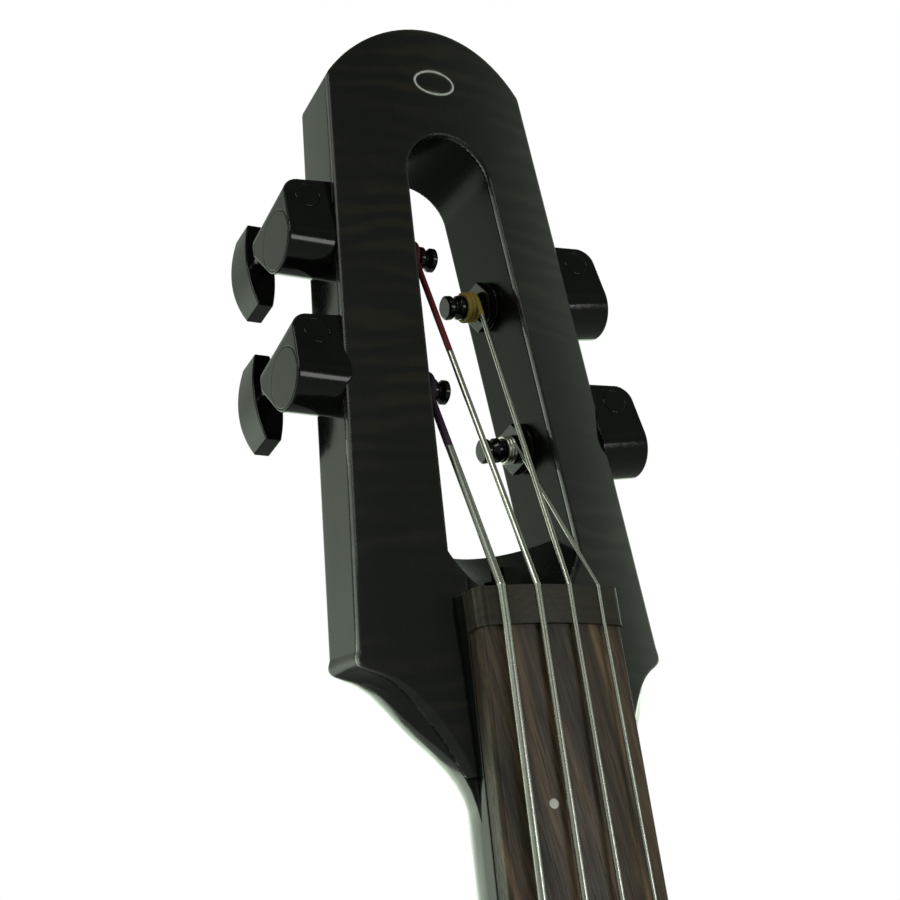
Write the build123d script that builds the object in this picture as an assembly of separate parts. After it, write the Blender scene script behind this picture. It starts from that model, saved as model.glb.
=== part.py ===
from build123d import *
import os
from math import acos, atan, atan2, cos, degrees, hypot, pi, radians, sin, sqrt

# Electric upright (double) bass, mm.  +Z runs up the neck, the strings face -Y, the lowest string is at -X.
# It is drawn with its zero at the nut's front edge, then moved so that the origin is at the stand plate.
os.makedirs("parts", exist_ok=True)

# ---- driving dimensions -------------------------------------------------------------------------
SCALE = 1050.0                              # nut to bridge
STRINGS = ("e", "a", "d", "g")
NUT_X = (-16.0, -5.2, 5.0, 14.9)            # string centres at the nut
NUT_Y = (0.9, 0.0, 0.0, 0.8)
STRING_R = (1.20, 0.95, 0.75, 0.55)
BRIDGE_X = (-39.0, -13.0, 13.0, 39.0)       # string centres at the bridge
BRIDGE_Y = (5.0, -3.0, -3.0, 5.0)

HEAD_LEAN = 2.87                            # degrees, the head leans back from the strings
HEAD_FRONT = 12.5                           # crown of the head front behind the strings, at the nut
HEAD_THICK = 31.0
ARCH_R = 100.0                              # arch across the head's front
HALF_W0, TAPER = 47.9, 0.0815               # machines' seats on the cheeks: half-width at the nut, loss per mm
FRONT_W0, FRONT_TAPER = 47.4, 0.0729        # head half-width at its front face, and its loss per mm
BACK_W0, BACK_TAPER = 49.1, 0.1012          # the same at the back
HEAD_TOP, SHOULDER = 197.0, 180.5
EAR_Z, EAR_RISE = -5.6, 8.8                 # underside of the ears, and its rise towards the back in degrees
SLOT_W0, SLOT_TAPER = 23.35, 0.062          # slot half-width at the nut, and its loss per mm
SLOT_FOOT, SLOT_TOP = 34.0, 159.5
FACE_T = 2.0                                # flamed layer on the head

FB_R, FB_CROWN = 90.0, 1.2                  # fingerboard top radius, and its crown behind the strings
FB_HALF, FB_WIDEN, FB_ARRIS = 22.4, 0.0275, 1.5   # half-width at the nut, and its gain per mm
FB_LENGTH, FB_FALL, FB_SIDE = 865.0, 9.0, 6.0
NECK_DEPTH, NECK_END = 28.0, -520.0
NUT_T, NUT_CROWN = 10.8, -0.2

BODY_TOP_Z, BODY_END_Z = -405.0, -1158.0
BODY_FRONT, BODY_T, TOP_T = 27.0, 46.0, 5.0  # crown of the body front, body thickness, flamed layer
BODY_ARCH_R = 260.0
JACK_R, JACK_DEPTH = 3.2, 20.0

LEFT_STATIONS, RIGHT_STATIONS = (84.0, 128.45), (114.2, 67.2)   # E, A and D, G machines, up the head
POST_OFF, MACHINE_TILT, SWING = 18.8, 6.5, 1.3   # post axis behind the crown, the machine's turn and swing
CASE_T, CASE_R, CASE_TOP, CASE_BACK = 15.1, 9.8, 15.4, 15.0
CASE_Y, CASE_Z, CASE_SEAT = -0.8, -2.2, 1.5  # centre of the case's round foot, and its depth let into the cheek
TOP_FALL, CORNER_R = 6.7, 5.5               # fall of the case's top towards the back, and its outer corner
WORM_X, WORM_Z = 7.8, 8.54                  # worm axis from the head's side and above the post axis
GEAR_R, WORM_R, SHAFT_R = 5.75, 2.7, 2.0
POST_R, POST_END = 3.1, -37.7
DRUM = -29.0                                # middle of the string's coil on the post
BUTTON_Y, BUTTON_T, BUTTON_H = 25.5, 12.5, 14.8
RUN = 0.05                                  # running clearance, radial

PLATE_Z, PLATE_W, PLATE_H, PLATE_T = -800.0, 56.0, 96.0, 4.0
PLATE_HOLE_X, PLATE_HOLE_Z, PLATE_HOLE_R = 36.0, 60.0, 2.5
KNOBS_AT = ((60.0, -1100.0), (72.0, -1060.0))
SWITCH_AT = (-68.0, -1075.0)
JACK_AT = (-78.0, -1105.0)

BODY_BACK = BODY_FRONT + BODY_T
ORIGIN = Location((0, -(BODY_BACK + PLATE_T), -PLATE_Z))
HEAD = Location((0, HEAD_FRONT, 0), (-HEAD_LEAN, 0, 0))
SIDE_TILT = degrees(atan(TAPER))


# ---- helpers ------------------------------------------------------------------------------------
def save(name, *shapes):
    """Write one node, moved to the model's own origin."""
    solids = [s.moved(ORIGIN) for shape in shapes for s in shape.solids()]
    shape = solids[0] if len(solids) == 1 else Compound(children=solids)
    export_step(shape, f"parts/{name}.step")


def rod(radius, start, direction, length):
    """A round bar from start along direction."""
    return Part() + Solid.make_cylinder(radius, length, Plane(origin=start, z_dir=direction))


def bar(radius, start, end):
    """A round bar between two points, with a ball at its end."""
    run = Vector(*end) - Vector(*start)
    return rod(radius, start, tuple(run), run.length)


def ball(radius, at):
    return Pos(*at) * Sphere(radius)


def turned_x(*profile):
    """A solid turned about X from (x, radius) corners."""
    points = [(profile[0][0], 0), *profile, (profile[-1][0], 0)]
    return revolve(make_face(Polyline(*points, close=True)), Axis.X)


def turned_y(*profile):
    """A solid turned about Y from (y, radius) corners."""
    return Rot(0, 0, 90) * turned_x(*profile)


def box(x0, x1, y0, y1, z0, z1):
    size = (x1 - x0, y1 - y0, z1 - z0)
    return Pos((x0 + x1) / 2, (y0 + y1) / 2, (z0 + z1) / 2) * Box(*size)


def slab(face, y0, y1):
    """Extrude a face drawn as (x, z) between two depths."""
    return Pos(0, y1, 0) * extrude(Plane.XZ * face, amount=y1 - y0)


def drum(radius, crown, z0, z1):
    """A cylinder standing along Z, whose front crown is at the given depth."""
    return rod(radius, (0, crown + radius, z0), (0, 0, 1), z1 - z0)


# ---- neck and head ------------------------------------------------------------------------------
def head_outline(w0, taper, off):
    """The head's sides and top at a depth behind the crown of its front."""
    low, high = w0 + taper * 20, w0 - taper * SHOULDER
    edge = Curve() + [
        Polyline((-high, SHOULDER), (-low, -20), (low, -20), (high, SHOULDER)),
        ThreePointArc((high, SHOULDER), (0, HEAD_TOP), (-high, SHOULDER)),
    ]
    return Plane(origin=(0, off, 0), x_dir=(1, 0, 0), z_dir=(0, -1, 0)) * make_face(edge)


def ear_section(z, rise, front, back, thick, corner):
    """A section across the ears, square in front and rounded behind, rising towards the back."""
    cut = corner * (1 - cos(radians(45)))
    edge = Curve() + [
        Polyline((-back, thick - corner), (-front, -2), (front, -2), (back, thick - corner)),
        ThreePointArc((back, thick - corner), (back - cut, thick - cut), (back - corner, thick)),
        Line((back - corner, thick), (corner - back, thick)),
        ThreePointArc((corner - back, thick), (cut - back, thick - cut), (-back, thick - corner)),
    ]
    a = radians(rise)
    return Plane(origin=(0, 0, z), x_dir=(1, 0, 0), z_dir=(0, -sin(a), cos(a))) * make_face(edge)


def slot_outline():
    radius = SLOT_W0 - SLOT_TAPER * (SLOT_TOP - 14)
    z_arc = SLOT_TOP - radius
    low, high = SLOT_W0 - SLOT_TAPER * SLOT_FOOT, SLOT_W0 - SLOT_TAPER * z_arc
    edge = Curve() + [
        Polyline((-high, z_arc), (-low, SLOT_FOOT), (low, SLOT_FOOT), (high, z_arc)),
        ThreePointArc((high, z_arc), (0, SLOT_TOP), (-high, z_arc)),
    ]
    return make_face(edge)


def station(side, z):
    """Place of a machine on a cheek: x outward, y towards the back, z up."""
    turn = Rot(0, -SIDE_TILT - side * SWING, 0) * Rot(-MACHINE_TILT, 0, 0)
    place = Location((HALF_W0 - TAPER * z, POST_OFF, z)) * turn
    return lambda shape: HEAD * (mirror(place * shape, Plane.YZ) if side < 0 else place * shape)


MACHINES = {
    "e": station(-1, LEFT_STATIONS[0]),
    "a": station(-1, LEFT_STATIONS[1]),
    "d": station(1, RIGHT_STATIONS[0]),
    "g": station(1, RIGHT_STATIONS[1]),
}


def machine_point(string, x, y, z):
    """A point in a machine's own frame, in model coordinates."""
    return tuple(MACHINES[string](Pos(x, y, z) * Sphere(0.5)).center())


def neck_section(z):
    """A D-shaped neck section at height z."""
    down = -z
    half = FB_HALF + FB_WIDEN * max(down, 0) - 0.1
    front = fingerboard_under(z)
    depth = NECK_DEPTH + 0.008 * max(down, 0)
    edge = Curve() + [
        Polyline((-half, front + 5), (-half, front), (half, front), (half, front + 5)),
        ThreePointArc((half, front + 5), (0, front + depth), (-half, front + 5)),
    ]
    return Plane(origin=(0, 0, z), x_dir=(1, 0, 0), z_dir=(0, 0, 1)) * make_face(edge)


def fingerboard_edge(z):
    """Half-width and depth of the fingerboard's upper edge at height z."""
    half = FB_HALF - FB_WIDEN * z
    crown = FB_CROWN - FB_FALL * z / FB_LENGTH
    return half, crown, crown + FB_R - sqrt(FB_R**2 - half**2)


def fingerboard_under(z):
    if z > 0:
        z = 0
    return fingerboard_edge(z)[2] + FB_SIDE


TRUSS_Y = fingerboard_under(0) + 14.0

neck = loft([neck_section(NUT_T + 1), neck_section(NECK_END)])
tongue = box(-28, 28, 22, BODY_FRONT + 6, -FB_LENGTH + 6, -400)
tongue -= box(-60, 60, 0, fingerboard_under(-FB_LENGTH), -FB_LENGTH, NECK_END)
EARS = (
    (EAR_Z + 4, EAR_RISE, 47.4, 48.7, 31.2, 1.5),
    (EAR_Z, EAR_RISE, 47.4, 49.2, 31.2, 1.5),
    (-13.3, 8.0, 31.5, 42.7, 31.2, 15.0),
    (-22.6, 6.5, 24.8, 36.6, 30.6, 19.0),
    (-32.4, 4.0, 21.5, 29.2, 28.6, 21.8),
    (-41.5, 1.0, 20.5, 25.2, 27.6, 23.4),
    (-50.0, 0.0, 21.8, 24.0, 27.6, 23.2),
    (-60.0, 0.0, 23.0, 23.7, 27.8, 23.2),
)
head_blank = loft([head_outline(FRONT_W0, FRONT_TAPER, -2), head_outline(BACK_W0, BACK_TAPER, HEAD_THICK)])
ear_plane = Plane(origin=(0, 0, EAR_Z), x_dir=(1, 0, 0), z_dir=(0, sin(radians(EAR_RISE)), -cos(radians(EAR_RISE))))
head_blank -= extrude(ear_plane * Rectangle(200, 200), amount=60)
corners = [e for e in head_blank.edges() if abs(e.center().X) > 25 and e.center().Z > 170 and 5 < e.center().Y < 25]
head_blank = fillet(corners, 3.0)
head_blank = fillet([e for e in head_blank.edges() if e.center().Y > HEAD_THICK - 0.1 and e.center().Z > 5], 1.5)
head_blank = (head_blank + loft([ear_section(*ear) for ear in EARS])) & drum(ARCH_R, 0, -70, HEAD_TOP + 5)
head_core = head_blank & drum(ARCH_R - FACE_T, FACE_T, -70, HEAD_TOP + 5)
head_face = (head_blank - drum(ARCH_R - FACE_T, FACE_T, -70, HEAD_TOP + 5)) & box(-80, 80, -9, 60, -38, 220)

# The slot, and the hollow that leads from the nut down to its foot.
SCOOP_R, SCOOP_TOP, SCOOP_FOOT = 26.0, (5.0, 12.0), (31.0, SLOT_FOOT)
run = Vector(0, SCOOP_FOOT[0] - SCOOP_TOP[0], SCOOP_FOOT[1] - SCOOP_TOP[1]).normalized()
scoop_axis = (0, SCOOP_TOP[0] - SCOOP_R * run.Z - 40 * run.Y, SCOOP_TOP[1] + SCOOP_R * run.Y - 40 * run.Z)
scoop_sides = make_face(Polyline((-SLOT_W0 + SLOT_TAPER * 12.4, 12.4), (SLOT_W0 - SLOT_TAPER * 12.4, 12.4),
                                 (SLOT_W0 - SLOT_TAPER * 50, 50), (-SLOT_W0 + SLOT_TAPER * 50, 50), close=True))
scoop = rod(SCOOP_R, scoop_axis, tuple(run), 120) & slab(scoop_sides, -6, HEAD_THICK + 6)
keep_clear = HEAD * (slab(slot_outline(), -20, HEAD_THICK + 20) + scoop)
head_face = HEAD * head_face - neck - keep_clear - box(-22.2, 22.2, -9, 24, -70, 0)
neck_and_head = HEAD * head_core + neck - keep_clear

# Channel behind the nut, where the truss rod's nut is reached.
channel = rod(6.0, (0, TRUSS_Y, NUT_T + 1.5), (0, -0.05, 1), 40)
neck_and_head -= channel
head_face -= channel

ring = Pos(0, 178) * (Ellipse(7.0, 4.4) - Ellipse(6.3, 3.7))
inlay = HEAD * (slab(ring, -1, 0.6) & drum(ARCH_R, 0.0, 160, 190))
head_face -= inlay


# ---- tuning machines ----------------------------------------------------------------------------
def case_blank():
    low = 3.0
    reach = hypot(CASE_BACK - CASE_Y, low - CASE_Z)
    angle = atan2(low - CASE_Z, CASE_BACK - CASE_Y) - acos(CASE_R / reach)
    tangent = (CASE_Y + CASE_R * cos(angle), CASE_Z + CASE_R * sin(angle))
    under = (CASE_Y + CASE_R * cos(radians(245)), CASE_Z + CASE_R * sin(radians(245)))
    front, top = CASE_Y - CASE_R, CASE_TOP + 3
    edge = Curve() + [
        Polyline((front, CASE_Z), (front, top), (CASE_BACK, top), (CASE_BACK, low), tangent),
        ThreePointArc(tangent, under, (front, CASE_Z)),
    ]
    blank = Pos(-CASE_SEAT, 0, 0) * extrude(Plane.YZ * make_face(edge), amount=CASE_T + CASE_SEAT)
    x, r = CASE_T - CORNER_R, CORNER_R
    z = -0.096 * x
    lid = make_face(Curve() + [
        Polyline((-5, 0.48), (x, z)),
        ThreePointArc((x, z), (x + r * sin(radians(45)), z - r + r * cos(radians(45))), (CASE_T, z - r)),
        Polyline((CASE_T, z - r), (CASE_T, -40), (-5, -40), (-5, 0.48)),
    ])
    return blank & (Pos(0, front, CASE_TOP) * Rot(-TOP_FALL, 0, 0) * slab(lid, -20, 60))


def machine_case():
    gear_room = rod(GEAR_R + 0.5, (3.5, 0, 0), (1, 0, 0), 9.5)
    worm_room = rod(WORM_R + 0.35, (WORM_X, -7.4, WORM_Z), (0, 1, 0), 16.6)
    cap_seat = rod(4.0, (WORM_X, CASE_Y - CASE_R - 1, WORM_Z), (0, 1, 0), 3.0)
    cover_seat = rod(9.1, (CASE_T - 1.6, CASE_Y, CASE_Z), (1, 0, 0), 5)
    shaft_bore = rod(SHAFT_R + RUN, (WORM_X, 5, WORM_Z), (0, 1, 0), 20)
    post_bore = rod(POST_R + RUN, (-5, 0, 0), (1, 0, 0), 10)
    blank = case_blank()
    outer = [e for e in blank.edges() if e.center().X > CASE_T - 0.1]
    blank = fillet(outer, 0.6)
    return blank - gear_room - worm_room - cap_seat - cover_seat - shaft_bore - post_bore


def gear():
    wheel = rod(GEAR_R, (4.0, 0, 0), (1, 0, 0), 8.0)
    teeth = 16
    for i in range(teeth):
        a = 2 * pi * (i + 0.5) / teeth
        groove = rod(0.55, (3, (GEAR_R + 0.2) * cos(a), (GEAR_R + 0.2) * sin(a)), (1, 0, 0), 10)
        wheel -= groove
    return wheel - rod(POST_R - 0.6, (3, 0, 0), (1, 0, 0), 10)


def post():
    drum_in, drum_out = DRUM + 3.0, DRUM - 3.2
    shape = turned_x((POST_END, 3.0), (POST_END + 0.5, 3.7), (POST_END + 1.8, 3.7), (POST_END + 3.2, 2.5),
                     (POST_END + 4.4, 3.7), (drum_out, 3.7), (drum_out + 0.6, POST_R), (drum_in, POST_R),
                     (3.9, POST_R), (3.9, POST_R - 0.6), (12.4, POST_R - 0.6))
    return shape


def post_bushing(wall):
    """Hex-headed sleeve through the cheek, its head beyond the washer on the slot's wall."""
    nut = extrude(Plane.YZ * RegularPolygon(6.6, 6, major_radius=False), amount=2.2)
    nut = Pos(wall - 3.4, 0, 0) * nut
    sleeve = rod(4.6, (wall - 3.4, 0, 0), (1, 0, 0), 3.4 - wall - CASE_SEAT - 0.2)
    return nut + sleeve - rod(POST_R + RUN, (-40, 0, 0), (1, 0, 0), 60)


def post_washer(wall):
    ring = rod(7.6, (wall - 1.2, 0, 0), (1, 0, 0), 1.2)
    return ring - rod(4.6, (-40, 0, 0), (1, 0, 0), 60)


def slot_wall(z):
    """Where the slot's wall lies in a machine's frame, a hair clear of the wood."""
    cheek = (HALF_W0 - TAPER * z) - (SLOT_W0 - SLOT_TAPER * z)
    return -cheek * cos(radians(SIDE_TILT)) - 0.35


def worm():
    y0, y1, tail = -7.2, 9.0, BUTTON_Y + BUTTON_T - 3
    points = [(y0, 1.6), (y0 + 1.2, 1.6)]
    pitch = 2.2
    y = y0 + 1.4
    while y < y1 - 2.4:
        points += [(y, 2.1), (y + 0.5, WORM_R), (y + 1.2, WORM_R), (y + 1.7, 2.1)]
        y += pitch
    points += [(y1, 2.1), (y1, SHAFT_R), (CASE_BACK + 0.3, SHAFT_R), (CASE_BACK + 0.3, 4.3), (CASE_BACK + 1.5, 4.3),
               (CASE_BACK + 2.2, 3.2), (BUTTON_Y, 2.9), (BUTTON_Y, 2.0), (tail, 2.0)]
    return Pos(WORM_X, 0, WORM_Z) * turned_y(*points)


def button():
    mid, end, h = 4.6, 2.4, BUTTON_H
    edge = Curve() + [
        ThreePointArc((-end, h), (-mid, 0), (-end, -h)),
        Line((-end, -h), (end, -h)),
        ThreePointArc((end, -h), (mid, 0), (end, h)),
        Line((end, h), (-end, h)),
    ]
    solid = slab(make_face(edge), 0, BUTTON_T)
    side = Curve() + [
        Polyline((0, -h), (0, h), (BUTTON_T - 2.7, h)),
        ThreePointArc((BUTTON_T - 2.7, h), (BUTTON_T, 0), (BUTTON_T - 2.7, -h)),
        Line((BUTTON_T - 2.7, -h), (0, -h)),
    ]
    solid = solid & extrude(Plane.YZ * make_face(side), amount=6, both=True)
    solid = fillet(solid.edges(), 0.5)
    solid = Pos(WORM_X, BUTTON_Y, WORM_Z) * solid
    bore = rod(2.0, (WORM_X, BUTTON_Y - 5, WORM_Z), (0, 1, 0), BUTTON_T + 2)
    return solid - bore


def gear_cover():
    return fillet(rod(9.0, (CASE_T - 1.6, CASE_Y, CASE_Z), (1, 0, 0), 1.7).edges(), 0.3)


def worm_cap():
    return fillet(rod(3.9, (WORM_X, CASE_Y - CASE_R - 0.15, WORM_Z), (0, 1, 0), 2.1).edges(), 0.3)


def case_screws():
    parts = Part()
    for y, z in ((5.5, -5.2), (10.5, 9.3)):
        parts += rod(1.2, (-6, y, z), (1, 0, 0), 8.5)
    return parts


neck_holes = Part()
for name, place in MACHINES.items():
    neck_holes += place(rod(4.6, (-28, 0, 0), (1, 0, 0), 34))
    neck_holes += place(case_screws())
    save(f"machine_case_{name}", place(machine_case() - case_screws()) - neck_and_head - head_face)
    save(f"worm_{name}", place(worm()))
    save(f"worm_gear_{name}", place(gear()))
    save(f"string_post_{name}", place(post()))
    save(f"tuner_button_{name}", place(button()))
places = MACHINES.values()
walls = [slot_wall(z) for z in LEFT_STATIONS + RIGHT_STATIONS]
save("post_bushings", *[place(post_bushing(wall)) for place, wall in zip(places, walls)])
save("bushing_washers", *[place(post_washer(wall)) for place, wall in zip(places, walls)])
save("gear_covers", *[place(gear_cover()) for place in places])
save("worm_caps", *[place(worm_cap()) for place in places])
save("case_screws", *[place(s) for place in places for s in case_screws().solids()])
neck_and_head -= neck_holes


# ---- fingerboard and nut ------------------------------------------------------------------------
def fingerboard_section(z):
    half, crown, edge_y = fingerboard_edge(z)
    under, r = edge_y + FB_SIDE, FB_ARRIS
    y = crown + FB_R - sqrt(FB_R**2 - (half - r) ** 2)
    cut = r * (1 - cos(radians(45)))
    edge = Curve() + [
        Polyline((-half, y + r), (-half, under), (half, under), (half, y + r)),
        ThreePointArc((half, y + r), (half - cut, y + cut), (half - r, y)),
        ThreePointArc((half - r, y), (0, crown), (r - half, y)),
        ThreePointArc((r - half, y), (cut - half, y + cut), (-half, y + r)),
    ]
    return Plane(origin=(0, 0, z), x_dir=(1, 0, 0), z_dir=(0, 0, 1)) * make_face(edge)


def dot(x, z):
    centre = fingerboard_edge(z)[1] + FB_R
    inward = Vector(-x, sqrt(FB_R**2 - x**2), 0) / FB_R
    start = Vector(x, centre - sqrt(FB_R**2 - x**2), z) - inward * 0.04
    return rod(1.35, tuple(start), tuple(inward), 2.0)


fingerboard = loft([fingerboard_section(0), fingerboard_section(-FB_LENGTH)])
dots = [dot(-9.1, -48.4)]
for semitones in (3, 5, 7, 9, 12, 15, 17, 19):
    z = -SCALE * (1 - 2 ** (-semitones / 12))
    dots.append(dot(-9.1 + 0.012 * z, z))
for d in dots:
    fingerboard -= d
save("position_dots", *dots)
save("fingerboard", fingerboard)
fingerboard_room = loft([fingerboard_section(0), fingerboard_section(-FB_LENGTH)])


def nut_block():
    half, r = 23.0, 3.0
    edge_y = NUT_CROWN + FB_R - sqrt(FB_R**2 - (half - r) ** 2)
    edge = Curve() + [
        Polyline((-half, edge_y + r), (-half, fingerboard_under(0)), (half, fingerboard_under(0)), (half, edge_y + r)),
        ThreePointArc((half, edge_y + r), (half - r * 0.3, edge_y + r * 0.3), (half - r, edge_y)),
        ThreePointArc((half - r, edge_y), (0, NUT_CROWN), (-half + r, edge_y)),
        ThreePointArc((-half + r, edge_y), (-half + r * 0.3, edge_y + r * 0.3), (-half, edge_y + r)),
    ]
    block = extrude(make_face(edge), amount=NUT_T)
    for i in range(4):
        block -= nut_groove(i)
    return block


def nut_groove(i):
    start = (NUT_X[i], NUT_Y[i], -1)
    deep = rod(STRING_R[i] + 0.05, start, (0, 0, 1), NUT_T + 2)
    return deep + box(NUT_X[i] - STRING_R[i] - 0.05, NUT_X[i] + STRING_R[i] + 0.05, -5, NUT_Y[i], -1, NUT_T + 1)


save("nut", nut_block())


# ---- body ---------------------------------------------------------------------------------------
def body_outline():
    side = ((37, BODY_TOP_Z), (52, -438), (65, -520), (69, -620), (66, -720), (70, -810), (84, -910), (97, -1010),
            (97, -1080), (84, -1130))
    edge = Curve() + [
        Spline(*side),
        ThreePointArc(side[-1], (0, BODY_END_Z), (-side[-1][0], side[-1][1])),
        Spline(*[(-x, z) for x, z in reversed(side)]),
        Line((-side[0][0], BODY_TOP_Z), side[0]),
    ]
    face = make_face(edge)
    return fillet([v for v in face.vertices() if v.Y < -1100], 16)


blank = slab(body_outline(), BODY_FRONT - 1, BODY_BACK)
blank = blank & drum(BODY_ARCH_R, BODY_FRONT, -1165, BODY_TOP_Z + 5)
inner = drum(BODY_ARCH_R - TOP_T, BODY_FRONT + TOP_T, -1165, BODY_TOP_Z + 5)
neck_and_head = neck_and_head + tongue - fingerboard_room
head_face -= neck_and_head
body = (blank & inner) - neck_and_head - fingerboard_room
body_top = (blank - inner) - neck_and_head - fingerboard_room

# Electronics cavity, opened from the back and closed by a screwed cover.
CAVITY_X, CAVITY_Z, COVER_LIP = 40.0, (-1125.0, -930.0), 6.0
cover_box = box(-CAVITY_X - COVER_LIP, CAVITY_X + COVER_LIP, BODY_BACK - 3, BODY_BACK, CAVITY_Z[0] - COVER_LIP,
                CAVITY_Z[1] + COVER_LIP)
cover = fillet(cover_box.edges().filter_by(Axis.Y), 5)
cavity = box(-CAVITY_X, CAVITY_X, BODY_BACK - 35, BODY_BACK, *CAVITY_Z)
cover_screws, cover_bores = [], Part()
for x in (-CAVITY_X - 3, CAVITY_X + 3):
    for z in (CAVITY_Z[0] - 3, sum(CAVITY_Z) / 2, CAVITY_Z[1] + 3):
        head = Pos(x, BODY_BACK - 1.2, z) * Rot(-90, 0, 0) * Cone(1.3, 2.4, 2.0)
        screw = head + rod(1.3, (x, BODY_BACK - 12, z), (0, 1, 0), 10)
        cover_bores += screw
        cover_screws.append(screw - box(x - 1.9, x + 1.9, BODY_BACK - 0.9, BODY_BACK + 1, z - 0.3, z + 0.3))
body = body - cavity - cover - cover_bores
save("control_cover", cover - cover_bores)
save("cover_screws", *cover_screws)


# Controls on the front: two knobs on pots, a toggle switch, and the output jack in the rim of the top.
def body_face_y(x):
    return BODY_FRONT + BODY_ARCH_R - sqrt(BODY_ARCH_R**2 - x**2)


POT_R, BUSH_R, STEM_R = 8.0, 3.5, 3.0
pots, pot_rooms, control_holes = [], Part(), Part()
for i, (x, z) in enumerate(KNOBS_AT):
    y = body_face_y(x)
    pot = rod(POT_R, (x, y + 9.0, z), (0, 1, 0), 9.0) + rod(BUSH_R, (x, y - 2.0, z), (0, 1, 0), 12.0)
    bore = rod(STEM_R + RUN, (x, y - 5, z), (0, 1, 0), 16)
    pots.append(pot - bore)
    pot_rooms += rod(POT_R + 0.5, (x, y + 8.8, z), (0, 1, 0), 20)
    control_holes += rod(BUSH_R, (x, y - 6, z), (0, 1, 0), 16)
    cap = fillet(rod(9.0, (x, y - 16.5, z), (0, 1, 0), 13.5).edges(), 1.2)
    for k in range(24):
        a = 2 * pi * k / 24
        cap -= rod(0.45, (x + 9.1 * cos(a), y - 14, z + 9.1 * sin(a)), (0, 1, 0), 12)
    cap -= rod(BUSH_R + 0.6, (x, y - 5.0, z), (0, 1, 0), 8)
    stem = rod(STEM_R, (x, y - 6.0, z), (0, 1, 0), 15.5)
    save(f"knob_{i + 1}", cap - stem)
    save(f"knob_stem_{i + 1}", stem)
save("control_pots", *pots)

sx, sz = SWITCH_AT
sy = body_face_y(sx)
case = box(sx - 6, sx + 6, sy + 8, sy + 22, sz - 9, sz + 9) + rod(3.2, (sx, sy - 3.5, sz), (0, 1, 0), 13)
lever_room = Pos(sx, sy + 10, sz) * Rot(90, 0, 0) * Cone(1.2, 2.75, 28)
pivot = (sx, sy + 10.0, sz)
save("toggle_case", case - lever_room - ball(3.0, pivot) - rod(0.8 + RUN, (sx - 4.6, sy + 10, sz), (1, 0, 0), 9.2))
lever = ball(2.4, pivot) + rod(0.9, pivot, (0, -1, 0), 20) + rod(2.2, (sx, sy - 8, sz), (0, -1, 0), 8.0)
lever += rod(0.8, (sx - 4.5, sy + 10, sz), (1, 0, 0), 9.0)
save("toggle_lever", fillet(lever.edges().group_by(Axis.Y)[0], 0.8))
pot_rooms += box(sx - 6.5, sx + 6.5, sy + 7.8, sy + 32, sz - 9.5, sz + 9.5)
control_holes += rod(3.2, (sx, sy - 8, sz), (0, 1, 0), 18)
body -= pot_rooms
body -= control_holes
body_top -= control_holes

# Output jack: a socket for a 6.35 mm plug, in the body's back.
jx, jz = JACK_AT
socket = rod(11.0, (jx, BODY_BACK - 2.0, jz), (0, 1, 0), 2.0) + rod(7.0, (jx, BODY_BACK - 22, jz), (0, 1, 0), 21)
body -= socket
save("output_jack", socket - rod(JACK_R, (jx, BODY_BACK - JACK_DEPTH, jz), (0, 1, 0), 40))
save("preamp_board", box(-30, 5, BODY_BACK - 30, BODY_BACK - 28.4, -1115, -1040) +
     box(-24, -8, BODY_BACK - 28.4, BODY_BACK - 22, -1105, -1085) + box(-25, -2, BODY_BACK - 28.4, BODY_BACK - 24,
                                                                       -1070, -1050))
save("battery", fillet(box(-24.5, 24.5, BODY_BACK - 21, BODY_BACK - 4.5, -980, -954).edges().filter_by(Axis.X), 2))
save("battery_tray", box(-27, 27, BODY_BACK - 35, BODY_BACK - 21, -983, -951))

# Stand plate on the back.
pz0, pz1 = PLATE_Z - PLATE_H / 2, PLATE_Z + PLATE_H / 2
plate = fillet(box(-PLATE_W / 2, PLATE_W / 2, BODY_BACK, BODY_BACK + PLATE_T, pz0, pz1).edges().filter_by(Axis.Y), 6)
plate_screws, plate_bores = [], Part()
for x in (-PLATE_W / 2 + 7, PLATE_W / 2 - 7):
    for z in (pz0 + 7, pz1 - 7):
        head = Pos(x, BODY_BACK + PLATE_T - 1.25, z) * Rot(-90, 0, 0) * Cone(2.0, 4.2, 2.5)
        screw = head + rod(2.0, (x, BODY_BACK - 22, z), (0, 1, 0), 24)
        plate_bores += screw
        plate_screws.append(screw - rod(1.3, (x, BODY_BACK + PLATE_T - 1.8, z), (0, 1, 0), 3))
stand_holes = Part()
for x in (-PLATE_HOLE_X / 2, PLATE_HOLE_X / 2):
    for z in (PLATE_Z - PLATE_HOLE_Z / 2, PLATE_Z + PLATE_HOLE_Z / 2):
        stand_holes += rod(PLATE_HOLE_R, (x, BODY_BACK - 10, z), (0, 1, 0), 20)
save("stand_plate", plate - plate_bores - stand_holes)
save("stand_plate_screws", *plate_screws)
body = body - plate_bores - stand_holes


# ---- bridge, tailpiece ----------------------------------------------------------------------------
def bridge_arch(z0, z1, y_off, x_half, foot_y):
    """A block whose front follows the arc through the four strings, moved back by y_off."""
    def arc_y(x):
        t = (BRIDGE_X[3] ** 2 - BRIDGE_X[2] ** 2) / (BRIDGE_Y[3] - BRIDGE_Y[2])
        return BRIDGE_Y[2] + (x**2 - BRIDGE_X[2] ** 2) / t + y_off
    edge = Curve() + [
        Polyline((-x_half, arc_y(x_half)), (-x_half, foot_y), (x_half, foot_y), (x_half, arc_y(x_half))),
        ThreePointArc((x_half, arc_y(x_half)), (0, arc_y(0)), (-x_half, arc_y(x_half))),
    ]
    return Pos(0, 0, z0) * extrude(make_face(edge), amount=z1 - z0)


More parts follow.
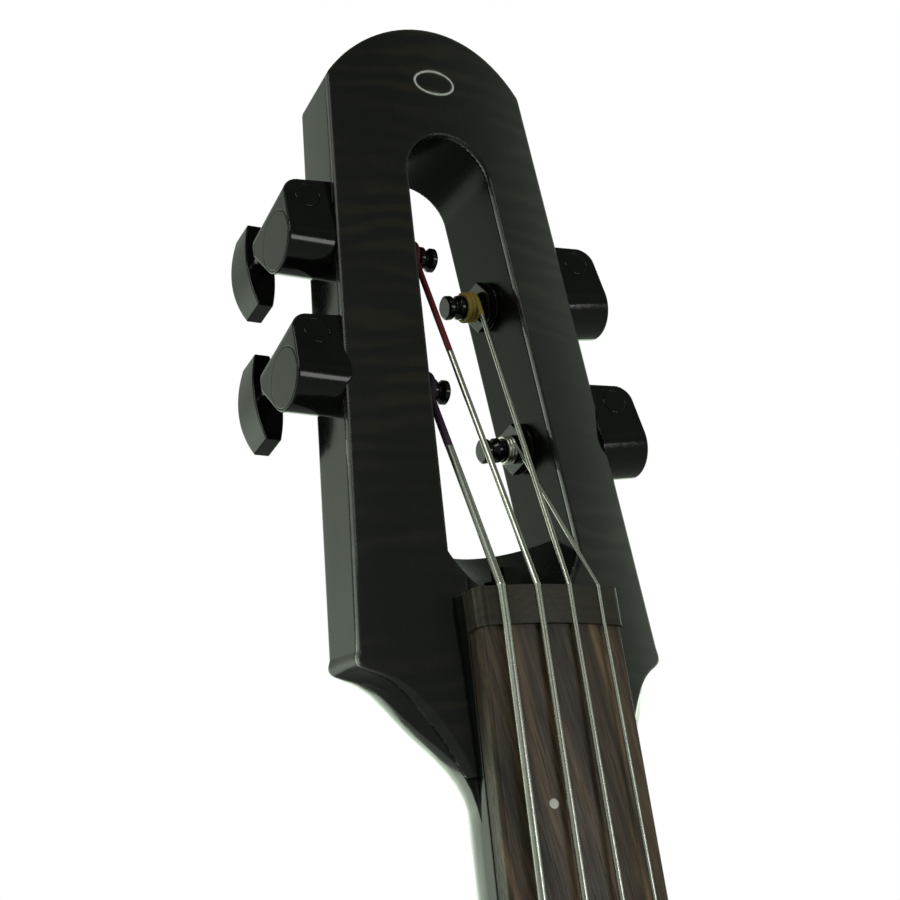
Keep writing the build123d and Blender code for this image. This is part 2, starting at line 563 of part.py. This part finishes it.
bz = -SCALE
face_y = body_face_y(46)
SADDLE_GAP = STRING_R[0] + 0.2
saddle = bridge_arch(bz - 2.5, bz + 2.5, SADDLE_GAP - 1.2, 46, 11.5)
for i in range(4):
    saddle -= rod(STRING_R[i] + 0.05, (BRIDGE_X[i], BRIDGE_Y[i], bz - 5), (0, 0, 1), 10)
    saddle -= box(BRIDGE_X[i] - STRING_R[i] - 0.05, BRIDGE_X[i] + STRING_R[i] + 0.05, -20, BRIDGE_Y[i], bz - 5, bz + 5)
bridge = bridge_arch(bz - 8, bz + 6, 6.0, 50, 40)
bridge -= bridge_arch(bz - 2.5, bz + 2.5, SADDLE_GAP - 1.2, 46, 11.5)
bridge -= drum(BODY_ARCH_R, BODY_FRONT, bz - 20, bz + 20)
bridge -= box(-30, 30, 19, 60, bz - 20, bz + 20)
pickups = [box(x - 3, x + 3, 11.5, 13.5, bz - 2.3, bz + 2.3) for x in BRIDGE_X]
for p in pickups:
    bridge -= p
save("bridge", bridge)
save("bridge_saddle", saddle)
save("bridge_pickups", *pickups)

TAIL_Z, TAIL_T = -1128.0, 14.0
tail_y = body_face_y(0)
TAIL_X = (-30.0, -10.0, 10.0, 30.0)
TAIL_Y = tail_y - 8.0
tail = fillet(box(-42, 42, tail_y - 14, tail_y + 0.5, TAIL_Z - TAIL_T / 2, TAIL_Z + TAIL_T / 2).edges(), 1.5)
tail -= drum(BODY_ARCH_R, BODY_FRONT, -1170, -1000)
tail_screws, tail_bores = [], Part()
for x in (-37.0, 0.0, 37.0):
    screw = rod(2.0, (x, tail_y - 10, TAIL_Z), (0, 1, 0), 30) + rod(3.6, (x, tail_y - 14.3, TAIL_Z), (0, 1, 0), 4.3)
    tail_bores += screw
    tail_screws.append(screw - rod(1.5, (x, tail_y - 16, TAIL_Z), (0, 1, 0), 3.5))
body_top -= tail_bores
body -= tail_bores
ball_ends = []
for i in range(4):
    tail -= rod(STRING_R[i] + 0.1, (TAIL_X[i], TAIL_Y, TAIL_Z - 20), (0, 0, 1), 40)
    tail -= rod(3.2, (TAIL_X[i], TAIL_Y, TAIL_Z - TAIL_T / 2 - 2), (0, 0, 1), 6)
    ball_ends.append(rod(3.0, (TAIL_X[i], TAIL_Y, TAIL_Z - TAIL_T / 2), (0, 0, 1), 3.8))
save("tailpiece", tail - tail_bores)
save("tailpiece_screws", *tail_screws)


# ---- strings --------------------------------------------------------------------------------------
def string(i, name):
    r = STRING_R[i]
    tail_end = (TAIL_X[i], TAIL_Y, TAIL_Z - TAIL_T / 2 + 1.5)
    tail_exit = (TAIL_X[i], TAIL_Y, TAIL_Z + TAIL_T / 2 + 1)
    bridge_low = (BRIDGE_X[i], BRIDGE_Y[i], bz - 2.5)
    bridge_high = (BRIDGE_X[i], BRIDGE_Y[i], bz + 2.5)
    nut_low = (NUT_X[i], NUT_Y[i], 0)
    nut_high = (NUT_X[i], NUT_Y[i], NUT_T)
    wrap = POST_R + 0.15 + r
    touch = machine_point(name, DRUM + 1.8 - r, -wrap, 0)
    way = [tail_end, tail_exit, bridge_low, bridge_high, nut_low, nut_high, touch]
    shape = bar(r, way[0], way[1])
    for a, b in zip(way[1:], way[2:]):
        shape += ball(r, a) + bar(r, a, b)
    shape += ball(r, touch)
    coil = Part()
    turns = 2 if i < 2 else 3
    for k in range(turns):
        ring = Pos(DRUM + 1.8 - r - 1.9 * r * k, 0, 0) * Rot(0, 90, 0) * Torus(wrap, r)
        coil += ring
    return shape + MACHINES[name](coil)


for i, name in enumerate(STRINGS):
    s = string(i, name)
    save(f"string_{name}", s)
    ball_ends[i] -= s
save("string_balls", *ball_ends)

save("truss_rod", rod(3.0, (0, TRUSS_Y, -488), (0, 0, 1), 500))
rod_nut = extrude(RegularPolygon(4.4, 6), amount=9)
save("truss_rod_nut", Pos(0, TRUSS_Y, NUT_T + 2.4) * rod_nut - rod(3.0, (0, TRUSS_Y, 0), (0, 0, 1), 12.1))
save("neck_and_head", neck_and_head - rod(3.0, (0, TRUSS_Y, -488), (0, 0, 1), 500))
save("head_front", head_face)
save("head_inlay", inlay)
save("body", body)
save("body_top", body_top)
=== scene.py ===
import math

import bpy
from mathutils import Matrix, Vector


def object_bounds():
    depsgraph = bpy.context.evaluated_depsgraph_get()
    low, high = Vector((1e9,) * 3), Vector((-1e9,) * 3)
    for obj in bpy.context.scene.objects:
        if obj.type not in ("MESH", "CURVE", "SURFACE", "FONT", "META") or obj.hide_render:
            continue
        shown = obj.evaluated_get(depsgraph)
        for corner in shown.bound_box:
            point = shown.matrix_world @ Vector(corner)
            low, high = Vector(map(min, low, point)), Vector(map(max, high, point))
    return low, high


# Electric upright (double) bass.  Metres.  +Z runs up the neck, the strings face -Y, the lowest string is at -X.
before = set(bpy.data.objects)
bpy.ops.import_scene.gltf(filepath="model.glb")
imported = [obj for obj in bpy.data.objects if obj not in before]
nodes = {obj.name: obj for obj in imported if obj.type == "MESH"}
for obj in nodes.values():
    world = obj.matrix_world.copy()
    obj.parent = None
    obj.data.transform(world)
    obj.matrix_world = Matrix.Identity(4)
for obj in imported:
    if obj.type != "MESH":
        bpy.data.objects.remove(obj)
cad_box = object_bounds()

NUT = Vector((0, -0.077, 0.800))            # nut's front edge, on the strings' plane
HEAD_MIDDLE = NUT + Vector((0, 0.02, 0.08))
EYE = NUT + Vector((-0.296601, -0.450431, -0.131983))
SLOT_Z = (0.812, 0.962)                     # heights between which the slot's walls lie
SLOT_HALF = ((0.800, 0.0242), (0.960, 0.0143))   # height and half-width, a little past the walls
FLAME_PITCH = 0.0070                        # between the maple's stripes
THREAD_PITCH = 0.0005                       # between the turns of silk on a string
EDGE_WOOD, EDGE_LACQUER, EDGE_METAL = 0.0012, 0.0010, 0.0005   # radii of softened edges
FLOOR_HALF = 6.0


# ---- camera, floor and light ----------------------------------------------------------------------
def turn(angle, axis):
    return Matrix.Rotation(math.radians(angle), 4, axis)


lens = bpy.data.cameras.new("camera")
lens.sensor_width = 36.0
lens.lens = 81.98
lens.clip_start = 0.02
camera = bpy.data.objects.new("camera", lens)
bpy.context.scene.collection.objects.link(camera)
aim = turn(-30.976, "Z") @ turn(18.96, "X") @ turn(8.294, "Y") @ turn(90, "X")
camera.matrix_world = Matrix.Translation(EYE) @ aim
bpy.context.scene.camera = camera
bpy.context.scene.view_settings.view_transform = "Standard"


class Tree:
    """Short calls that build one node tree."""

    def __init__(self, tree):
        self.tree = tree

    def add(self, kind, inputs=(), **settings):
        node = self.tree.nodes.new(kind)
        for name, value in settings.items():
            setattr(node, name, value)
        for name, value in dict(inputs).items():
            self.set(node.inputs[name], value)
        return node

    def set(self, socket, value):
        if isinstance(value, bpy.types.NodeSocket):
            self.tree.links.new(value, socket)
        else:
            socket.default_value = value

    def math(self, operation, a, b=0.0, clamp=False):
        return self.add("ShaderNodeMath", {0: a, 1: b}, operation=operation, use_clamp=clamp).outputs[0]

    def map(self, value, low, high, to_low=0.0, to_high=1.0, smooth=False):
        kind = "SMOOTHSTEP" if smooth else "LINEAR"
        inputs = {"Value": value, "From Min": low, "From Max": high, "To Min": to_low, "To Max": to_high}
        return self.add("ShaderNodeMapRange", inputs, interpolation_type=kind).outputs[0]

    def stretch(self, vector, scale=(1, 1, 1), rotation=(0, 0, 0)):
        inputs = {"Vector": vector, "Scale": scale, "Rotation": rotation}
        return self.add("ShaderNodeMapping", inputs).outputs[0]

    def noise(self, vector, scale, detail=3.0, roughness=0.5, distortion=0.0):
        inputs = {"Vector": vector, "Scale": scale, "Detail": detail, "Roughness": roughness,
                  "Distortion": distortion}
        return self.add("ShaderNodeTexNoise", inputs).outputs["Fac"]

    def ramp(self, value, *stops):
        node = self.add("ShaderNodeValToRGB", {"Fac": value})
        elements = node.color_ramp.elements
        for i, (at, colour) in enumerate(stops):
            element = elements[i] if i < 2 else elements.new(at)
            element.position = at
            element.color = (*colour, 1)
        return node.outputs["Color"]

    def mix(self, factor, a, b, blend="MIX"):
        node = self.add("ShaderNodeMix", data_type="RGBA", blend_type=blend)
        self.set(node.inputs["Factor"], factor)
        for socket, value in ((node.inputs[6], a), (node.inputs[7], b)):
            self.set(socket, value if isinstance(value, bpy.types.NodeSocket) else (*value, 1))
        return node.outputs[2]


def sky():
    """White to the eye, and an uneven pale studio to the gloss."""
    world = bpy.data.worlds.new("studio")
    bpy.context.scene.world = world
    world.use_nodes = True
    t = Tree(world.node_tree)
    way = t.add("ShaderNodeTexCoord").outputs["Generated"]
    split = t.add("ShaderNodeSeparateXYZ", {0: way})
    back = t.map(split.outputs["Y"], -0.9, 0.8, 0.14, 0.62)
    back = t.math("MULTIPLY", back, t.map(split.outputs["Z"], 0.42, 0.62, 1.0, 0.55, smooth=True))
    low = t.map(split.outputs["Z"], 0.15, 0.45, 1.1, 0.0, smooth=True)
    glow = t.math("MULTIPLY", low, t.map(split.outputs["Y"], 0.1, 0.7, smooth=True))
    level = t.math("ADD", back, glow)
    tint = t.mix(1.0, level, (0.86, 1.0, 0.82), "MULTIPLY")
    eye = t.add("ShaderNodeLightPath").outputs["Is Camera Ray"]
    colour = t.mix(eye, tint, (1.0, 1.0, 1.0))
    t.set(world.node_tree.nodes["Background"].inputs["Color"], colour)


def softbox(name, at, to, size, power, colour=(1, 1, 1)):
    light = bpy.data.lights.new(name, "AREA")
    light.shape = "RECTANGLE"
    light.size, light.size_y = size
    light.energy = power
    light.color = colour
    lamp = bpy.data.objects.new(name, light)
    bpy.context.scene.collection.objects.link(lamp)
    lamp.location = at
    lamp.rotation_euler = (Vector(to) - Vector(at)).to_track_quat("-Z", "Y").to_euler()


sky()
softbox("key", HEAD_MIDDLE + Vector((-1.1, -0.9, 0.9)), HEAD_MIDDLE, (0.7, 0.7), 6.0, (1.0, 1.0, 0.90))
softbox("strip", HEAD_MIDDLE + Vector((0.50, -1.08, -0.10)), HEAD_MIDDLE, (0.55, 0.26), 2.0)


# ---- materials --------------------------------------------------------------------------------------
class Finish(Tree):
    """One material, mapped from the object's own coordinates in metres."""

    def __init__(self, name, **shader):
        self.material = bpy.data.materials.new(name)
        self.material.use_nodes = True
        super().__init__(self.material.node_tree)
        self.shader = self.tree.nodes["Principled BSDF"]
        self.at = self.add("ShaderNodeTexCoord").outputs["Object"]
        for key, value in shader.items():
            self.set(self.shader.inputs[key.replace("_", " ")], value)

    def colour(self, value):
        self.set(self.shader.inputs["Base Color"], value)

    def rough(self, value):
        self.set(self.shader.inputs["Roughness"], value)

    def bump(self, height, distance, strength=1.0, edge=0.0):
        """Surface relief, over edges softened to the given radius."""
        inputs = {"Height": height, "Distance": distance, "Strength": strength}
        if edge:
            inputs["Normal"] = self.add("ShaderNodeBevel", {"Radius": edge}, samples=6).outputs[0]
        relief = self.add("ShaderNodeBump", inputs).outputs[0]
        self.set(self.shader.inputs["Normal"], relief)
        self.set(self.shader.inputs["Coat Normal"], relief)


def flamed_maple():
    """Transparent black stain over flamed maple, under a clear gloss coat."""
    coat = {"Coat_Weight": 1.0, "Coat_Roughness": 0.06, "Coat_IOR": 1.5}
    f = Finish("stained_flamed_maple", Specular_IOR_Level=0.15, **coat)
    wave = f.noise(f.stretch(f.at, (26, 26, 70)), 1.0, 2.0, 0.5)
    way = f.add("ShaderNodeSeparateXYZ", {0: f.at})
    height = f.math("ADD", way.outputs["Z"], f.math("MULTIPLY", wave, 0.016))
    height = f.math("ADD", height, f.math("MULTIPLY", way.outputs["X"], 0.06))
    stripe = f.math("SINE", f.math("MULTIPLY", height, 2 * math.pi / FLAME_PITCH))
    stripe = f.map(stripe, -1.0, 1.0, 0.0, 1.0, smooth=True)
    fade = f.noise(f.stretch(f.at, (22, 22, 38)), 1.0, 3.0, 0.6)
    stripe = f.math("MULTIPLY", stripe, f.map(fade, 0.42, 0.62, 0.05, 1.0))
    grain = f.noise(f.stretch(f.at, (900, 900, 60)), 1.0, 4.0, 0.65)
    figure = f.math("ADD", stripe, f.map(grain, 0.3, 0.7, -0.15, 0.15), clamp=True)
    f.colour(f.ramp(figure, (0.0, (0.0030, 0.0032, 0.0024)), (0.45, (0.0070, 0.0062, 0.0042)),
                    (1.0, (0.0170, 0.0135, 0.0075))))
    f.rough(f.map(figure, 0.0, 1.0, 0.60, 0.45))
    f.bump(f.noise(f.at, 60.0, 1.0), 0.00004, edge=EDGE_WOOD)
    return f.material


def gloss_black():
    """Solid black gloss lacquer with a slight waviness, duller inside the head's slot."""
    f = Finish("gloss_black_lacquer")
    cloud = f.noise(f.at, 30.0, 3.0)
    f.colour(f.ramp(cloud, (0.3, (0.0026, 0.0034, 0.0025)), (0.7, (0.0050, 0.0062, 0.0045))))
    way = f.add("ShaderNodeSeparateXYZ", {0: f.at})
    (low, wide), (high, narrow) = SLOT_HALF
    half = f.map(way.outputs["Z"], low, high, wide, narrow)
    inside = f.math("LESS_THAN", f.math("ABSOLUTE", way.outputs["X"]), half)
    inside = f.math("MULTIPLY", inside, f.math("GREATER_THAN", way.outputs["Z"], SLOT_Z[0]))
    inside = f.math("MULTIPLY", inside, f.math("LESS_THAN", way.outputs["Z"], SLOT_Z[1]))
    f.set(f.shader.inputs["Specular IOR Level"], f.map(inside, 0.0, 1.0, 0.5, 0.10))
    gloss = f.map(f.noise(f.at, 900.0, 2.0), 0.3, 0.7, 0.10, 0.16)
    f.rough(f.math("ADD", gloss, f.math("MULTIPLY", inside, 0.15)))
    f.bump(f.noise(f.at, 90.0, 1.0), 0.00005, edge=EDGE_LACQUER)
    return f.material


def black_metal():
    """Black plated die-cast metal: mirror-smooth, with faint polishing marks."""
    f = Finish("black_plated_metal", Specular_IOR_Level=0.38)
    cloud = f.noise(f.at, 120.0, 3.0)
    f.colour(f.ramp(cloud, (0.3, (0.0022, 0.0028, 0.0024)), (0.7, (0.0044, 0.0054, 0.0044))))
    f.rough(f.map(f.noise(f.stretch(f.at, (500, 3000, 500)), 1.0, 3.0), 0.3, 0.7, 0.08, 0.15))
    f.bump(f.noise(f.at, 260.0, 2.0), 0.00002, edge=EDGE_METAL)
    return f.material


def rosewood():
    """Open-grained brown fingerboard wood, its streaks slightly across the length."""
    f = Finish("fingerboard_rosewood")
    way = f.add("ShaderNodeSeparateXYZ", {0: f.at}).outputs
    across = f.math("ADD", way["X"], f.math("MULTIPLY", way["Z"], 0.16))
    slanted = f.add("ShaderNodeCombineXYZ", {"X": across, "Y": way["Y"], "Z": way["Z"]}).outputs[0]
    broad = f.noise(f.stretch(slanted, (130, 130, 7)), 1.0, 3.0, 0.55, 0.8)
    fine = f.noise(f.stretch(slanted, (600, 600, 30)), 1.0, 5.0, 0.6)
    pores = f.noise(f.stretch(slanted, (2200, 2200, 90)), 1.0, 2.0, 0.5)
    tone = f.math("ADD", f.math("MULTIPLY", broad, 0.7), f.math("MULTIPLY", fine, 0.3))
    wood = f.ramp(tone, (0.36, (0.020, 0.012, 0.0080)), (0.47, (0.050, 0.031, 0.018)),
                  (0.56, (0.120, 0.075, 0.043)), (0.68, (0.250, 0.155, 0.085)))
    dark = f.map(pores, 0.30, 0.42, 0.45, 1.0)
    f.colour(f.mix(1.0, wood, dark, "MULTIPLY"))
    f.rough(f.map(pores, 0.3, 0.6, 0.55, 0.38))
    f.bump(pores, 0.00008)
    return f.material


def ebony():
    """Polished dark wood with fine streaks."""
    f = Finish("nut_ebony")
    streak = f.noise(f.stretch(f.at, (40, 400, 400)), 1.0, 4.0, 0.6)
    f.colour(f.ramp(streak, (0.3, (0.016, 0.013, 0.009)), (0.7, (0.050, 0.042, 0.026))))
    f.rough(f.map(streak, 0.3, 0.7, 0.38, 0.26))
    f.bump(f.noise(f.at, 800.0, 2.0), 0.00004)
    return f.material


def string_steel(name, silk=None, above=0.0):
    """Flat-wound steel, under coloured silk above a height when a colour is given."""
    f = Finish(name)
    up = f.add("ShaderNodeSeparateXYZ", {0: f.at}).outputs["Z"]
    cloud = f.noise(f.at, 400.0, 3.0)
    steel = f.ramp(cloud, (0.3, (0.56, 0.57, 0.52)), (0.7, (0.72, 0.72, 0.66)))
    polish = f.map(cloud, 0.3, 0.7, 0.34, 0.24)
    # Wave along the string at each turn of silk; below, it paints shade into the grooves between the turns.
    groove_shade_wave = f.math("SINE", f.math("MULTIPLY", up, 2 * math.pi / THREAD_PITCH))
    metal = 1.0
    if silk:
        wrapped = f.map(up, above, above + 0.0003)
        # Painted shade: the silk is darkened to 0.45 of its colour in the groove between neighbouring turns.
        thread = f.ramp(groove_shade_wave, (0.0, tuple(0.45 * c for c in silk)), (0.8, silk))
        steel = f.mix(wrapped, steel, thread)
        metal = f.math("SUBTRACT", 1.0, wrapped)
        polish = f.math("ADD", polish, f.math("MULTIPLY", wrapped, 0.4))
    f.colour(steel)
    f.set(f.shader.inputs["Metallic"], metal)
    f.rough(polish)
    f.bump(cloud, 0.000004)
    return f.material


def pearl():
    """Pale shell, for the dots and the head's inlay."""
    f = Finish("pale_inlay")
    f.colour(f.ramp(f.noise(f.at, 700.0, 3.0), (0.3, (0.50, 0.52, 0.50)), (0.7, (0.75, 0.76, 0.72))))
    f.rough(f.map(f.noise(f.at, 300.0), 0.3, 0.7, 0.2, 0.35))
    return f.material


def plain(name, low, high, scale, rough, **shader):
    """A mottled material between two close colours."""
    f = Finish(name, **shader)
    f.colour(f.ramp(f.noise(f.at, scale, 4.0, 0.6), (0.3, low), (0.7, high)))
    f.rough(f.map(f.noise(f.at, scale * 3, 2.0), 0.3, 0.7, *rough))
    f.bump(f.noise(f.at, scale * 4, 2.0), 0.00003)
    return f.material


MAPLE, LACQUER, METAL = flamed_maple(), gloss_black(), black_metal()
ROSEWOOD, EBONY, PEARL = rosewood(), ebony(), pearl()
WOUND = {                                   # each string's silk colour, and the height where it starts
    "string_e": string_steel("low_string", (0.080, 0.035, 0.090), 0.8577),
    "string_a": string_steel("second_string", (0.220, 0.016, 0.020), 0.8880),
    "string_d": string_steel("third_string", (0.420, 0.300, 0.050), 0.9050),
    "string_g": string_steel("high_string"),
}
BRASS = plain("brass", (0.45, 0.28, 0.08), (0.62, 0.42, 0.15), 300.0, (0.2, 0.35), Metallic=1.0)
NICKEL = plain("nickel", (0.45, 0.45, 0.43), (0.62, 0.62, 0.60), 300.0, (0.18, 0.3), Metallic=1.0)
RUBBER = plain("black_plastic", (0.010, 0.011, 0.010), (0.018, 0.019, 0.018), 300.0, (0.35, 0.5))
BOARD = plain("circuit_board", (0.004, 0.035, 0.012), (0.008, 0.060, 0.020), 200.0, (0.35, 0.5))
BRIDGE_WOOD = plain("bridge_maple", (0.28, 0.16, 0.07), (0.42, 0.26, 0.12), 120.0, (0.3, 0.45))
LABEL = plain("battery_wrap", (0.02, 0.02, 0.022), (0.05, 0.05, 0.055), 150.0, (0.3, 0.4))

FINISHES = {
    "head_front": MAPLE, "body_top": MAPLE, "neck_and_head": LACQUER, "body": LACQUER,
    "fingerboard": ROSEWOOD, "nut": EBONY, "position_dots": PEARL, "head_inlay": PEARL,
    "bridge": BRIDGE_WOOD, "bridge_saddle": EBONY, "bridge_pickups": NICKEL, "tailpiece": METAL,
    "battery": LABEL, "battery_tray": RUBBER, "preamp_board": BOARD, "control_cover": RUBBER,
    "control_pots": NICKEL, "knob_stem_1": NICKEL, "knob_stem_2": NICKEL, "truss_rod": NICKEL,
    "string_balls": BRASS, "toggle_lever": NICKEL, "toggle_case": RUBBER, "output_jack": NICKEL,
}
for name, node in nodes.items():
    node.data.materials.clear()
    node.data.materials.append(FINISHES.get(name, WOUND.get(name, METAL)))


# ---- floor --------------------------------------------------------------------------------------------
def floor():
    """A plain pale floor under the lowest point."""
    f = Finish("floor")
    f.colour(f.ramp(f.noise(f.at, 3.0, 2.0), (0.3, (0.86, 0.86, 0.85)), (0.7, (0.90, 0.90, 0.89))))
    f.rough(0.8)
    mesh = bpy.data.meshes.new("floor")
    half, z = FLOOR_HALF, cad_box[0].z
    corners = [(-half, -half, z), (half, -half, z), (half, half, z), (-half, half, z)]
    mesh.from_pydata(corners, [], [(0, 1, 2, 3)])
    mesh.materials.append(f.material)
    ground = bpy.data.objects.new("floor", mesh)
    bpy.context.scene.collection.objects.link(ground)


floor()
